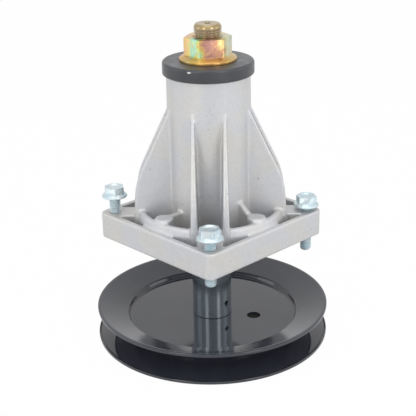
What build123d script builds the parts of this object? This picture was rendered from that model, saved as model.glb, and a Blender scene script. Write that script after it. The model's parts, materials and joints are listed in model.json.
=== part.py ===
from build123d import *
import os
from math import hypot, radians, sqrt, tan

# Mower deck spindle, standing on its pulley as it is stored: the blade end points up.
# Millimetres. The origin is on the spindle's axis, at the pulley's lower rim.
# The flange's sides run along X and Y, so its corners lie on the diagonals.

# Pulley: two pressed sheet halves, back to back
PULLEY_D = 168.0
PULLEY_HEIGHT = 23.0
SHEET = 1.6
RIM_LIP = 1.8
FLARE_FOOT_D = 124.0
STEP_RISE = 3.1
STEP_RUN = 1.6
BEND_R = 1.2
LOCATING_HOLE_D = 9.9
LOCATING_HOLE_R = 31.5
LOCATING_HOLE_ANGLE = 29.0

# Ball bearings, two of one size, on the shaft's journal
JOURNAL_D = 20.0
BEARING_OD = 47.0
BEARING_WIDTH = 14.0
BALL_D = 7.9
BALL_COUNT = 8
BALL_PLAY = 0.02
GROOVE_DEPTH = 1.6
RING_CHAMFER = 0.8
SEAL_THICKNESS = 1.2
SEAL_INSET = 0.4
SEAL_STEP = 1.7
SEAL_LIP_PLAY = 0.1
CAGE_WIDTH = 9.6
CAGE_WALL = 2.6
CAGE_PLAY = 0.12

# Sleeve between the pulley and the lower bearing, and the spacer between the bearings
SLEEVE_D = 28.4
SLEEVE_LENGTH = 62.7
SLEEVE_PLAY = 0.05
SLEEVE_CHAMFER = 0.5
SPACER_D = 26.0
SET_SCREW_D = 4.0
SET_SCREW_HEX = 2.0
SET_SCREW_SOCKET = 1.8
SET_SCREW_SINK = 0.8
SET_SCREW_HEIGHT = 10.4
SET_SCREW_ANGLE = 3.0

# Housing tube, from the flange's face up
TUBE_LENGTH = 121.9
TUBE_WALL = 5.3
TUBE_DRAFT = 0.35
BEARING_SHOULDER = 3.5
CORE_STEP = 2.0
CORE_MARGIN = 6.0
BLADE_BEARING_SINK = 1.6
PULLEY_BEARING_SINK = 1.5
BORE_CHAMFER = 0.8

# Square flange
FLANGE_SIDE = 113.0
FLANGE_CORNER_R = 5.2
FLANGE_HEIGHT = 18.7
FLANGE_FLOOR = 7.0
RIM_WALL = 4.0
EDGE_ROUND = 1.0

# Ring that joins the feet of the ribs
RING_HEIGHT = 24.1
RING_LAP = 0.3
RING_WALL = 5.3
RING_LEAN = 1.3

# Ribs, one pair at each corner; heights are from the flange's face
RIB_OFFSET = 10.7
RIB_FOOT_THICKNESS = 5.2
RIB_DRAFT = 0.9
RIB_TOP_HEIGHT = 93.4
RIB_KNEE_HEIGHT = 44.3
RIB_KNEE_ROUND = 53.0
RIB_FOOT_PROUD = 1.7
RIB_LEAN = 1.4
RIB_EDGE_ROUND = 0.9

# Web and round boss in each side bay; the webs along X climb to the tube, those along Y are level
BAY_WEB_THICKNESS = 4.4
BAY_WEB_CLIMB = 7.4
BAY_BOSS_D = 13.0
BAY_BOSS_INSET = 2.9
BAY_BOSS_HEIGHT = 26.3

# Corner bosses, each with its screw
SCREW_EDGE = 8.4
CORNER_BOSS_WALL = 6.0
CORNER_WEB = 17.0
SCREW_D = 7.94
SCREW_PITCH = 1.411
SCREW_PLAY = 0.06
SCREW_FREE_GAP = 0.4
SCREW_HOLE_CHAMFER = 1.0
SCREW_LENGTH = 34.0
SCREW_HEX = 12.7
SCREW_FLANGE_D = 17.8
SCREW_FLANGE_EDGE = 1.1
SCREW_FLANGE_CONE = 1.3
SCREW_HEAD_HEIGHT = 7.3
SCREW_DISH_D = 11.0
SCREW_DISH_DEPTH = 1.1
SCREW_POINT = 1.2
FRONT_SCREW_STAND = 7.3
RIGHT_SCREW_STAND = 3.0
BACK_SCREW_STAND = 6.2
LEFT_SCREW_STAND = 11.8
# name, corner angle, how far the head stands above the corner, turn of the hexagon
SCREWS = (
    ("front", -45.0, FRONT_SCREW_STAND, -63.0),
    ("right", 45.0, RIGHT_SCREW_STAND, -60.0),
    ("back", 135.0, BACK_SCREW_STAND, 10.0),
    ("left", -135.0, LEFT_SCREW_STAND, -64.0),
)

# Black disc that the blade seats against
DISC_HEIGHT = 9.2
SKIRT_LAP = 2.8
SKIRT_WALL = 1.95
SKIRT_PLAY = 0.6
SKIRT_END_PLAY = 0.8
DISC_TOP_ROUND = 1.8
DISC_FOOT_ROUND = 1.2
DISC_HUB_D = 27.0
KEY_SIDE = 4.0
KEY_LENGTH = 6.0
KEY_DEPTH = 2.4
KEY_PLAY = 0.05

# Flange nut and the shaft's threaded end
THREAD_RELIEF = 0.475
THREAD_PITCH = 1.5875
THREAD_PLAY = 0.06
THREAD_PROUD = 8.5
END_CONE_HEIGHT = 2.2
END_CONE_WIDTH = 1.3
CENTRE_MARK_D = 4.6
CENTRE_MARK_DEPTH = 1.6
NUT_HEX = 28.6
NUT_HEIGHT = 16.2
NUT_COUNTERSINK_D = 21.4
NUT_FLANGE_D = 39.2
NUT_FLANGE_EDGE = 1.8
NUT_FLANGE_CONE = 2.4
NUT_TURN = -34.0
HEX_CROWN_ANGLE = 16.0

# Pulley end of the shaft, with the bolt and washer below the pulley
DRIVE_END_D = 16.0
DRIVE_FLATS = 13.0
DRIVE_PLAY = 0.05
END_GAP = 0.5
PULLEY_BOLT_D = 9.5
PULLEY_BOLT_LENGTH = 30.0
PULLEY_BOLT_HEX = 14.3
PULLEY_BOLT_HEAD = 5.8
WASHER_D = 32.0
WASHER_THICKNESS = 2.6
WASHER_PLAY = 0.4
HOLE_END_GAP = 2.0

# Heights that follow
WEB_Z = PULLEY_HEIGHT / 2
WEB_TOP_Z = WEB_Z + SHEET
WEB_UNDER_Z = WEB_Z - SHEET
WASHER_Z = WEB_UNDER_Z - WASHER_THICKNESS
PULLEY_BEARING_Z = WEB_TOP_Z + SLEEVE_LENGTH
FLANGE_Z = PULLEY_BEARING_Z - PULLEY_BEARING_SINK
FLOOR_Z = FLANGE_Z + FLANGE_FLOOR
RIM_TOP_Z = FLANGE_Z + FLANGE_HEIGHT
RING_TOP_Z = FLANGE_Z + RING_HEIGHT
TUBE_TOP_Z = FLANGE_Z + TUBE_LENGTH
BLADE_BEARING_TOP_Z = TUBE_TOP_Z - BLADE_BEARING_SINK
BLADE_BEARING_Z = BLADE_BEARING_TOP_Z - BEARING_WIDTH
JOURNAL_Z = WEB_TOP_Z + END_GAP
JOURNAL_TOP_Z = BLADE_BEARING_TOP_Z - END_GAP
DISC_FOOT_Z = TUBE_TOP_Z - SKIRT_LAP
DISC_TOP_Z = DISC_FOOT_Z + DISC_HEIGHT
NUT_TOP_Z = DISC_TOP_Z + NUT_HEIGHT
THREAD_END_Z = NUT_TOP_Z + THREAD_PROUD

# Radii and diameters that follow
BALL_CIRCLE_R = (JOURNAL_D + BEARING_OD) / 4
INNER_LAND_D = 2 * (BALL_CIRCLE_R + GROOVE_DEPTH) - BALL_D
OUTER_LAND_D = 2 * (BALL_CIRCLE_R - GROOVE_DEPTH) + BALL_D
SEAL_RIM_D = OUTER_LAND_D + 2 * SEAL_STEP
THREAD_D = JOURNAL_D - 2 * THREAD_RELIEF
TUBE_TOP_R = BEARING_OD / 2 + TUBE_WALL
TUBE_FOOT_R = TUBE_TOP_R + (TUBE_TOP_Z - FLOOR_Z) * tan(radians(TUBE_DRAFT))
WALL_ROOT_R = BEARING_OD / 2 + TUBE_WALL / 4
CORNER_R = (FLANGE_SIDE / 2 - SCREW_EDGE) * sqrt(2)
RING_FOOT_R = FLANGE_SIDE / 2 - RIM_WALL + RING_LAP
RING_TOP_R = RING_FOOT_R - RING_LEAN
RING_BORE_R = RING_FOOT_R - RING_WALL
RIB_FOOT_R = RING_TOP_R + RIB_FOOT_PROUD
RIB_KNEE_R = RIB_FOOT_R - RIB_LEAN
BAY_BOSS_R = RING_BORE_R - BAY_BOSS_INSET

# Where a thread is held, screw and hole are drawn at the middle of the thread's depth
MIDDLE_SHARE = 0.6495
THREAD_MIDDLE_D = THREAD_D - MIDDLE_SHARE * THREAD_PITCH
SCREW_MIDDLE_D = SCREW_D - MIDDLE_SHARE * SCREW_PITCH

# Smallest length that is told apart when an edge is picked
NEAR = 0.01


def profile(*points):
    """A face in the XZ plane, from points given as radius and height."""
    return Plane.XZ * make_face(Polyline(*points, close=True))


def corner_at(face, radius, height):
    """The vertex of an XZ face that lies at this radius and height."""
    return face.vertices().sort_by_distance((radius, 0, height))[0]


def turned(face):
    return revolve(face, Axis.Z, 360)


def cylinder(diameter, low, high):
    return Pos(0, 0, low) * extrude(Circle(diameter / 2), high - low)


def hexagon(across_flats, low, high, turn=0.0):
    """A hexagonal prism with the normal of one flat at the angle turn."""
    outline = RegularPolygon(across_flats / sqrt(3), 6, rotation=turn + 30)
    return Pos(0, 0, low) * extrude(outline, high - low)


def at_corner(shape, angle):
    return Rot(0, 0, angle) * Pos(CORNER_R, 0, 0) * shape


def line_below(points, distance):
    """A bent line moved down square to itself by the distance, with mitred corners."""
    normals = []
    for (r0, z0), (r1, z1) in zip(points, points[1:]):
        length = hypot(r1 - r0, z1 - z0)
        normals.append(((z1 - z0) / length, (r0 - r1) / length))
    normals = normals[:1] + normals + normals[-1:]
    moved = []
    for (r, z), (a, b), (c, d) in zip(points, normals, normals[1:]):
        reach = distance / (1 + a * c + b * d)
        moved.append((r + reach * (a + c), z + reach * (b + d)))
    return moved


def pulley_half_profile():
    """Upper half: flat web, a step up, a straight flare and a flat lip at the rim."""
    foot = FLARE_FOOT_D / 2
    rim = PULLEY_D / 2
    top_line = [
        (0, WEB_TOP_Z),
        (foot - STEP_RUN, WEB_TOP_Z),
        (foot, WEB_TOP_Z + STEP_RISE),
        (rim - RIM_LIP, PULLEY_HEIGHT),
        (rim, PULLEY_HEIGHT),
    ]
    under_line = line_below(top_line, SHEET)
    face = profile(*top_line, *reversed(under_line))
    bends = [corner_at(face, *line[i]) for line in (top_line, under_line) for i in (1, 2)]
    return fillet(bends, BEND_R)


def double_d(diameter, flats, play):
    """Round with two flats, widened all round by the play."""
    return Circle(diameter / 2 + play) & Rectangle(diameter * 2, flats + 2 * play)


def pulley_upper_half():
    half = turned(pulley_half_profile())
    drive = extrude(double_d(DRIVE_END_D, DRIVE_FLATS, DRIVE_PLAY), PULLEY_HEIGHT)
    hole = Pos(LOCATING_HOLE_R, 0, 0) * cylinder(LOCATING_HOLE_D, 0, PULLEY_HEIGHT)
    return half - drive - Rot(0, 0, LOCATING_HOLE_ANGLE) * hole


def pulley_lower_half():
    """The same pressing turned over, with its hole half a turn away from the upper one's."""
    return Rot(0, 0, 180) * pulley_upper_half().mirror(Plane.XY.offset(WEB_Z))


def shaft():
    end = WEB_UNDER_Z + END_GAP
    drive = extrude(double_d(DRIVE_END_D, DRIVE_FLATS, 0), JOURNAL_Z - end)
    body = Pos(0, 0, end) * drive
    body += cylinder(JOURNAL_D, JOURNAL_Z, JOURNAL_TOP_Z)
    body += cylinder(THREAD_D, JOURNAL_TOP_Z, DISC_TOP_Z)
    body += cylinder(THREAD_MIDDLE_D, DISC_TOP_Z, NUT_TOP_Z)
    body += turned(profile(
        (0, NUT_TOP_Z), (THREAD_D / 2, NUT_TOP_Z), (THREAD_D / 2, THREAD_END_Z - END_CONE_HEIGHT),
        (THREAD_D / 2 - END_CONE_WIDTH, THREAD_END_Z), (0, THREAD_END_Z),
    ))
    tip = THREAD_END_Z - CENTRE_MARK_DEPTH
    mark = profile((0, THREAD_END_Z), (CENTRE_MARK_D / 2, THREAD_END_Z), (0, tip))
    hole_top = WASHER_Z + PULLEY_BOLT_LENGTH + HOLE_END_GAP
    bolt_hole = cylinder(PULLEY_BOLT_D + 2 * SCREW_PLAY, end, hole_top)
    return body - turned(mark) - bolt_hole - key_block(KEY_PLAY)


def key_block(play):
    """The key's own block, or its slot when play is given."""
    side = KEY_SIDE + 2 * play
    length = KEY_LENGTH + 2 * play
    inner = JOURNAL_D / 2 - KEY_DEPTH - play
    middle = (JOURNAL_TOP_Z + DISC_TOP_Z) / 2
    return Pos(inner + side / 2, 0, middle) * Box(side, side, length)


def bearing_outer_ring(base):
    """Outer ring with a ball groove and a step at each face for the seal's rim."""
    outer = BEARING_OD / 2
    land = OUTER_LAND_D / 2
    rim = SEAL_RIM_D / 2
    c = RING_CHAMFER
    end = base + BEARING_WIDTH
    low_step = base + SEAL_INSET + SEAL_THICKNESS
    high_step = end - SEAL_INSET - SEAL_THICKNESS
    section = profile(
        (rim, base), (outer - c, base), (outer, base + c), (outer, end - c), (outer - c, end),
        (rim, end), (rim, high_step), (land, high_step), (land, low_step), (rim, low_step),
    )
    return turned(section - ball_groove(base))


def bearing_inner_ring(base):
    inner = JOURNAL_D / 2
    land = INNER_LAND_D / 2
    c = RING_CHAMFER
    end = base + BEARING_WIDTH
    section = profile(
        (inner + c, base), (land, base), (land, end), (inner + c, end), (inner, end - c), (inner, base + c),
    )
    return turned(section - ball_groove(base))


def ball_groove(base):
    place = Plane.XZ * Pos(BALL_CIRCLE_R, base + BEARING_WIDTH / 2)
    return place * Circle(BALL_D / 2 + BALL_PLAY)


def ball_places(base):
    """Where the balls lie, half a pitch away from the X axis."""
    first = Pos(BALL_CIRCLE_R, 0, base + BEARING_WIDTH / 2)
    return [Rot(0, 0, 360 * (i + 0.5) / BALL_COUNT) * first for i in range(BALL_COUNT)]


def bearing_balls(base):
    return Compound(children=[place * Sphere(BALL_D / 2) for place in ball_places(base)])


def bearing_cage(base):
    """Flat band with a round pocket bored through it for each ball."""
    low = base + (BEARING_WIDTH - CAGE_WIDTH) / 2
    high = low + CAGE_WIDTH
    band = cylinder(2 * BALL_CIRCLE_R + CAGE_WALL, low, high)
    band -= cylinder(2 * BALL_CIRCLE_R - CAGE_WALL, low, high)
    pocket = Rot(0, 90, 0) * Cylinder(BALL_D / 2 + CAGE_PLAY, 4 * CAGE_WALL)
    for place in ball_places(base):
        band -= place * pocket
    return band


def bearing_seal(base, side):
    """Flat ring seated in the outer ring's step; side is -1 at the lower face and 1 at the upper."""
    half = BEARING_WIDTH / 2 - SEAL_INSET - SEAL_THICKNESS / 2
    middle = base + BEARING_WIDTH / 2 + side * half
    low = middle - SEAL_THICKNESS / 2
    high = middle + SEAL_THICKNESS / 2
    return cylinder(SEAL_RIM_D, low, high) - cylinder(INNER_LAND_D + 2 * SEAL_LIP_PLAY, low, high)


def flange_block():
    """Square flange: a floor, a rim wall and a solid corner, level with the rim, round each screw."""
    inner_side = FLANGE_SIDE - 2 * RIM_WALL
    outline = RectangleRounded(FLANGE_SIDE, FLANGE_SIDE, FLANGE_CORNER_R)
    block = Pos(0, 0, FLANGE_Z) * extrude(outline, FLANGE_HEIGHT)
    block = fillet(block.faces().sort_by(Axis.Z)[-1].edges(), EDGE_ROUND)
    inner = RectangleRounded(inner_side, inner_side, FLANGE_CORNER_R - RIM_WALL / 2)
    keep = Circle(RING_FOOT_R)
    for _, angle, _, _ in SCREWS:
        keep += at_corner(Circle(SCREW_D / 2 + CORNER_BOSS_WALL), angle)
        keep += Rot(0, 0, angle) * Pos(CORNER_R / 2, 0) * Rectangle(CORNER_R, CORNER_WEB)
    block -= Pos(0, 0, FLOOR_Z) * extrude(inner - keep, FLANGE_HEIGHT)
    return block


def ring_wall():
    """Low round wall through the feet of the ribs, drafted and rounded on top."""
    face = profile(
        (RING_BORE_R, FLOOR_Z), (RING_FOOT_R, FLOOR_Z), (RING_FOOT_R, RIM_TOP_Z),
        (RING_TOP_R, RING_TOP_Z), (RING_BORE_R, RING_TOP_Z),
    )
    crests = [corner_at(face, radius, RING_TOP_Z) for radius in (RING_TOP_R, RING_BORE_R)]
    return turned(fillet(crests, EDGE_ROUND))


def tube_body():
    """The drafted tube before it is bored, standing on a straight plug in the flange."""
    return turned(profile(
        (0, FLANGE_Z), (TUBE_FOOT_R, FLANGE_Z), (TUBE_FOOT_R, FLOOR_Z),
        (TUBE_TOP_R, TUBE_TOP_Z), (0, TUBE_TOP_Z),
    ))


def rib():
    """One rib in the XZ plane: a straight back, a long round knee and a steep foot."""
    knee_z = FLANGE_Z + RIB_KNEE_HEIGHT
    back_slope = (RIB_TOP_HEIGHT - RIB_KNEE_HEIGHT) / (RIB_KNEE_R - TUBE_TOP_R)
    start = FLANGE_Z + RIB_TOP_HEIGHT + back_slope * (TUBE_TOP_R - WALL_ROOT_R)
    foot_slope = RIB_LEAN / (knee_z - RING_TOP_Z)
    foot = RIB_FOOT_R + foot_slope * (RING_TOP_Z - RIM_TOP_Z)
    face = profile(
        (WALL_ROOT_R, FLOOR_Z), (foot, FLOOR_Z), (foot, RIM_TOP_Z),
        (RIB_KNEE_R, knee_z), (WALL_ROOT_R, start),
    )
    face = fillet(corner_at(face, RIB_KNEE_R, knee_z), RIB_KNEE_ROUND)
    plate = extrude(face, RIB_FOOT_THICKNESS, both=True) & rib_draft_block()
    crest = [edge for edge in plate.edges() if on_rib_crest(edge.center())]
    return fillet(crest, RIB_EDGE_ROUND)


def rib_draft_block():
    """A rib's thickness all along its length: full at the floor, less further up by the draft."""
    foot = RIB_FOOT_THICKNESS / 2
    top = foot - TUBE_LENGTH * tan(radians(RIB_DRAFT))
    top_z = FLOOR_Z + TUBE_LENGTH
    section = Polyline((-foot, FLOOR_Z), (foot, FLOOR_Z), (top, top_z), (-top, top_z), close=True)
    return extrude(Plane.YZ * make_face(section), FLANGE_SIDE)


def on_rib_crest(point):
    """True for the long edges of a rib's back, above its foot."""
    return abs(point.Y) > NEAR and point.X > WALL_ROOT_R + NEAR and point.Z > RIM_TOP_Z + NEAR


def bay_web(climb):
    """Web from the round boss of a side bay to the tube, which it meets higher by the climb."""
    boss_top = FLANGE_Z + BAY_BOSS_HEIGHT
    boss_edge = BAY_BOSS_R - BAY_BOSS_D / 2
    slope = climb / (boss_edge - TUBE_TOP_R)
    start = boss_top + slope * (boss_edge - WALL_ROOT_R)
    face = profile(
        (WALL_ROOT_R, FLOOR_Z), (BAY_BOSS_R, FLOOR_Z), (BAY_BOSS_R, boss_top), (boss_edge, boss_top),
        (WALL_ROOT_R, start),
    )
    web = extrude(face, BAY_WEB_THICKNESS / 2, both=True)
    boss = Pos(BAY_BOSS_R, 0, 0) * cylinder(BAY_BOSS_D, FLOOR_Z, boss_top)
    return web + fillet(boss.edges().sort_by(Axis.Z)[-1], EDGE_ROUND)


def housing_bore():
    """Two bearing seats, a shoulder inside each and a cored space between."""
    seat = BEARING_OD / 2
    shoulder = seat - BEARING_SHOULDER
    core = shoulder + CORE_STEP
    low_seat = PULLEY_BEARING_Z + BEARING_WIDTH
    high_seat = BLADE_BEARING_Z
    low_core = low_seat + CORE_MARGIN
    high_core = high_seat - CORE_MARGIN
    c = BORE_CHAMFER
    return turned(profile(
        (0, FLANGE_Z), (seat + c, FLANGE_Z), (seat, FLANGE_Z + c), (seat, low_seat),
        (shoulder, low_seat), (shoulder, low_core), (core, low_core + CORE_STEP),
        (core, high_core - CORE_STEP), (shoulder, high_core), (shoulder, high_seat),
        (seat, high_seat), (seat, TUBE_TOP_Z - c), (seat + c, TUBE_TOP_Z), (0, TUBE_TOP_Z),
    ))


def housing():
    """The die-cast body: flange, ring, tube, ribs and bay webs in one piece."""
    bay = cylinder(2 * RING_BORE_R, FLOOR_Z, RIM_TOP_Z)
    body = flange_block() - bay + ring_wall() + tube_body()
    for _, angle, _, _ in SCREWS:
        for side in (-1, 1):
            body += Rot(0, 0, angle) * Pos(0, side * RIB_OFFSET, 0) * rib()
    for angle, climb in ((0, BAY_WEB_CLIMB), (90, 0), (180, BAY_WEB_CLIMB), (270, 0)):
        body += Rot(0, 0, angle) * bay_web(climb)
    body -= housing_bore()
    for _, angle, _, _ in SCREWS:
        body -= at_corner(screw_hole(), angle)
    return body


def screw_hole():
    """Threaded hole through a corner, opened by a cone at the flange's face."""
    bore = SCREW_MIDDLE_D / 2 + SCREW_PLAY
    mouth = bore + SCREW_HOLE_CHAMFER
    return turned(profile(
        (0, FLANGE_Z), (mouth, FLANGE_Z), (bore, FLANGE_Z + SCREW_HOLE_CHAMFER), (bore, RIM_TOP_Z),
        (0, RIM_TOP_Z),
    ))


def flange_collar(hex_size, flange_d, edge, cone):
    """Round flange with a straight edge and a sloping top that runs up to the hexagon."""
    rim = flange_d / 2
    inner = hex_size / 2
    return turned(profile((0, 0), (rim, 0), (rim, edge), (inner, edge + cone), (0, edge + cone)))


def crowned_hexagon(hex_size, height, turn):
    """A hexagon with its top corners turned off."""
    corner = hex_size / sqrt(3)
    flat = hex_size / 2
    shoulder = height - (corner - flat) * tan(radians(HEX_CROWN_ANGLE))
    cap = turned(profile((0, 0), (corner, 0), (corner, shoulder), (flat, height), (0, height)))
    return hexagon(hex_size, 0, height, turn) & cap


def mounting_screw(angle, stand, turn):
    """Hex flange screw with a dished head, pointing down and only part way in."""
    height = SCREW_HEAD_HEIGHT
    dish_r = SCREW_DISH_D / 2
    floor = height - SCREW_DISH_DEPTH
    head = flange_collar(SCREW_HEX, SCREW_FLANGE_D, SCREW_FLANGE_EDGE, SCREW_FLANGE_CONE)
    head += crowned_hexagon(SCREW_HEX, height, turn - angle)
    dish = turned(profile((0, height), (dish_r, height), (dish_r - SCREW_DISH_DEPTH, floor), (0, floor)))
    held_from = -stand - (RIM_TOP_Z - FLANGE_Z) - SCREW_FREE_GAP
    free_end = cylinder(SCREW_D, -SCREW_LENGTH, held_from)
    free_end = chamfer(free_end.edges().sort_by(Axis.Z)[0], SCREW_POINT)
    shank = cylinder(SCREW_D, -stand, 0) + cylinder(SCREW_MIDDLE_D, held_from, -stand) + free_end
    return at_corner(Pos(0, 0, RIM_TOP_Z + stand) * (head - dish + shank), angle)


def blade_disc():
    """Round blade seat with a skirt over the tube's end and a hub on the bearing's inner ring."""
    skirt = TUBE_TOP_R + SKIRT_PLAY
    outer = skirt + SKIRT_WALL
    ceiling = TUBE_TOP_Z + SKIRT_END_PLAY
    hub = DISC_HUB_D / 2
    bore = THREAD_D / 2 + THREAD_PLAY
    face = profile(
        (bore, DISC_TOP_Z), (outer, DISC_TOP_Z), (outer, DISC_FOOT_Z), (skirt, DISC_FOOT_Z),
        (skirt, ceiling), (hub, ceiling), (hub, BLADE_BEARING_TOP_Z), (bore, BLADE_BEARING_TOP_Z),
    )
    face = fillet(corner_at(face, outer, DISC_TOP_Z), DISC_TOP_ROUND)
    face = fillet(corner_at(face, outer, DISC_FOOT_Z), DISC_FOOT_ROUND)
    reach = JOURNAL_D / 2 - KEY_DEPTH + KEY_SIDE + KEY_PLAY
    keyway = Pos(reach / 2, 0, DISC_TOP_Z) * Box(reach, KEY_SIDE + 2 * KEY_PLAY, 4 * DISC_HEIGHT)
    return turned(face) - keyway


def blade_nut():
    body = flange_collar(NUT_HEX, NUT_FLANGE_D, NUT_FLANGE_EDGE, NUT_FLANGE_CONE)
    body += crowned_hexagon(NUT_HEX, NUT_HEIGHT, NUT_TURN)
    bore = cylinder(THREAD_MIDDLE_D + 2 * THREAD_PLAY, 0, NUT_HEIGHT)
    sink = NUT_COUNTERSINK_D / 2
    countersink = turned(profile((0, NUT_HEIGHT), (sink, NUT_HEIGHT), (0, NUT_HEIGHT - sink)))
    return Pos(0, 0, DISC_TOP_Z) * (body - bore - countersink)


def tube_spacer(outer_d, low, high):
    tube = cylinder(outer_d, low, high)
    tube = chamfer(tube.edges(), SLEEVE_CHAMFER)
    return tube - cylinder(JOURNAL_D + 2 * SLEEVE_PLAY, low, high)


def across_sleeve(shape):
    """Lays a shape that runs along Z on the line of the sleeve's cross hole."""
    height = WEB_TOP_Z + SET_SCREW_HEIGHT
    return Rot(0, 0, SET_SCREW_ANGLE) * Pos(0, 0, height) * Rot(0, 90, 0) * shape


def pulley_sleeve():
    hole = cylinder(SET_SCREW_D, 0, SLEEVE_D)
    return tube_spacer(SLEEVE_D, WEB_TOP_Z, PULLEY_BEARING_Z) - across_sleeve(hole)


def sleeve_set_screw():
    low = JOURNAL_D / 2 + SLEEVE_PLAY
    high = SLEEVE_D / 2 - SET_SCREW_SINK
    body = cylinder(SET_SCREW_D - 2 * SCREW_PLAY, low, high)
    socket = hexagon(SET_SCREW_HEX, high - SET_SCREW_SOCKET, high)
    return across_sleeve(body - socket)


def pulley_washer():
    bore = PULLEY_BOLT_D + 2 * WASHER_PLAY
    return cylinder(WASHER_D, WASHER_Z, WEB_UNDER_Z) - cylinder(bore, WASHER_Z, WEB_UNDER_Z)


def pulley_bolt():
    head = hexagon(PULLEY_BOLT_HEX, WASHER_Z - PULLEY_BOLT_HEAD, WASHER_Z)
    shank = cylinder(PULLEY_BOLT_D, WASHER_Z, WASHER_Z + PULLEY_BOLT_LENGTH)
    return head + shank


def bearing_nodes(name, base):
    return {
        name + "_outer_ring": bearing_outer_ring(base),
        name + "_inner_ring": bearing_inner_ring(base),
        name + "_balls": bearing_balls(base),
        name + "_cage": bearing_cage(base),
        name + "_lower_seal": bearing_seal(base, -1),
        name + "_upper_seal": bearing_seal(base, 1),
    }


def all_nodes():
    nodes = {
        "housing": housing(),
        "shaft": shaft(),
        "pulley_upper_half": pulley_upper_half(),
        "pulley_lower_half": pulley_lower_half(),
        "pulley_sleeve": pulley_sleeve(),
        "sleeve_set_screw": sleeve_set_screw(),
        "pulley_washer": pulley_washer(),
        "pulley_bolt": pulley_bolt(),
        "bearing_spacer": tube_spacer(SPACER_D, PULLEY_BEARING_Z + BEARING_WIDTH, BLADE_BEARING_Z),
        "blade_disc": blade_disc(),
        "blade_key": key_block(0),
        "blade_nut": blade_nut(),
    }
    for name, angle, stand, turn in SCREWS:
        nodes["mounting_screw_" + name] = mounting_screw(angle, stand, turn)
    nodes.update(bearing_nodes("pulley_bearing", PULLEY_BEARING_Z))
    nodes.update(bearing_nodes("blade_bearing", BLADE_BEARING_Z))
    return nodes


os.makedirs("parts", exist_ok=True)
for node, shape in all_nodes().items():
    export_step(shape, "parts/" + node + ".step")
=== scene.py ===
# %% [markdown]
# # A mower deck spindle
# This part carries a mower's blade under the deck. A cast housing holds two ball bearings, a shaft turns in
# them, a pressed pulley drives it from one end and the blade is clamped at the other. It stands here upside
# down on its pulley, as it lies on a shelf. The measured solids are loaded first and are never changed. They
# are the frame that every modelled piece is fitted to.

# %% Load the measured solids
import json
import math
import bmesh
import bpy
from mathutils import Euler, Matrix, Vector


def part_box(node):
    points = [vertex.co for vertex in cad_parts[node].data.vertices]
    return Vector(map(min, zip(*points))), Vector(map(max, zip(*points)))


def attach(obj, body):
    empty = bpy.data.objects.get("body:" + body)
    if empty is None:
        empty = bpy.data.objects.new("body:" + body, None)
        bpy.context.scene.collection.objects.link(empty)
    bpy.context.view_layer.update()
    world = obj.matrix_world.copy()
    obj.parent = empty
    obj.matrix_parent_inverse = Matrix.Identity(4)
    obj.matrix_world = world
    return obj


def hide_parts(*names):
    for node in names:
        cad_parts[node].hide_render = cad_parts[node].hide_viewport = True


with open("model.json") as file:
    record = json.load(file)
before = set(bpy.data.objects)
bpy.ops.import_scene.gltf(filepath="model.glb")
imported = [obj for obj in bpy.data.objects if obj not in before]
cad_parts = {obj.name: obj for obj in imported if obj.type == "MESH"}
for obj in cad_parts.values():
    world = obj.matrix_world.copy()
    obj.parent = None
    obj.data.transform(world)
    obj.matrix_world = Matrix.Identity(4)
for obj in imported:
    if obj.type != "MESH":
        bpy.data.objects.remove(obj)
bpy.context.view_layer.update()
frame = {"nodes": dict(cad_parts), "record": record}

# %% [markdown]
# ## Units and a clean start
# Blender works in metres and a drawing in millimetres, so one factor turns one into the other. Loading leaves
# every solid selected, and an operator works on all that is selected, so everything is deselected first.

MM = 0.001
CLOSE = 0.001  # points nearer than this, in millimetres, count as one
bpy.ops.object.select_all(action="DESELECT")


def heights(node):
    """Lowest and highest point of a solid, in millimetres."""
    low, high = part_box(node)
    return low[2] / MM, high[2] / MM


# %% [markdown]
# ## The camera
# The picture of the part is square and was taken from about 22 degrees above, looking at a
# corner of the flange. A long lens keeps the perspective flat, as in a catalogue picture. The lens and the
# place come from fitting the rims of the pulley and the sides of the flange to the picture.

# %% Camera
VIEW_TURN = math.radians(45.65)
VIEW_DISTANCE, VIEW_HEIGHT = 0.69208, 0.37079
VIEW_PITCH, VIEW_YAW, VIEW_ROLL = 0.3797, -0.0027, -0.0183
LENS = 90.43

camera = bpy.data.objects.new("camera", bpy.data.cameras.new("camera"))
bpy.context.scene.collection.objects.link(camera)
camera.data.lens = LENS
camera.data.sensor_width = 36
camera.location = (VIEW_DISTANCE * math.sin(VIEW_TURN), -VIEW_DISTANCE * math.cos(VIEW_TURN), VIEW_HEIGHT)
aim = Euler((math.pi / 2 - VIEW_PITCH, 0, VIEW_TURN - VIEW_YAW)).to_matrix()
aim = aim @ Matrix.Rotation(VIEW_ROLL, 3, "Z")
camera.rotation_euler = aim.to_euler()
bpy.context.scene.camera = camera
print("camera", [round(c, 3) for c in camera.location])

# %% [markdown]
# ## Selecting by place
# In the viewport one clicks on what an operator should change. In a script the same is done by a test on each
# vertex: those whose place passes it are selected.

# %% Selecting by place
def pick(piece, test):
    """Selects the vertices whose place, in millimetres, passes the test, in edit mode."""
    bpy.ops.mesh.select_mode(type="VERT")
    bpy.ops.mesh.select_all(action="DESELECT")
    mesh = bmesh.from_edit_mesh(piece.data)
    for vertex in mesh.verts:
        if test(vertex.co / MM):
            vertex.select_set(True)
    mesh.select_flush_mode()
    bmesh.update_edit_mesh(piece.data)


def only(piece):
    """Makes one piece the active and only selected one, in object mode."""
    if bpy.context.object and bpy.context.object.mode != "OBJECT":
        bpy.ops.object.mode_set(mode="OBJECT")
    bpy.ops.object.select_all(action="DESELECT")
    bpy.context.view_layer.objects.active = piece
    piece.select_set(True)


# %% [markdown]
# ## Drawing an outline
# Most of this part is round, so most pieces are half an outline spun about the axis, as on a lathe. A plane
# merged to one point gives the first vertex, and each extrude draws one more line of the outline. A vertex
# bevel then rounds a corner before anything is spun, which is cheaper and cleaner than rounding the solid.

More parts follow.
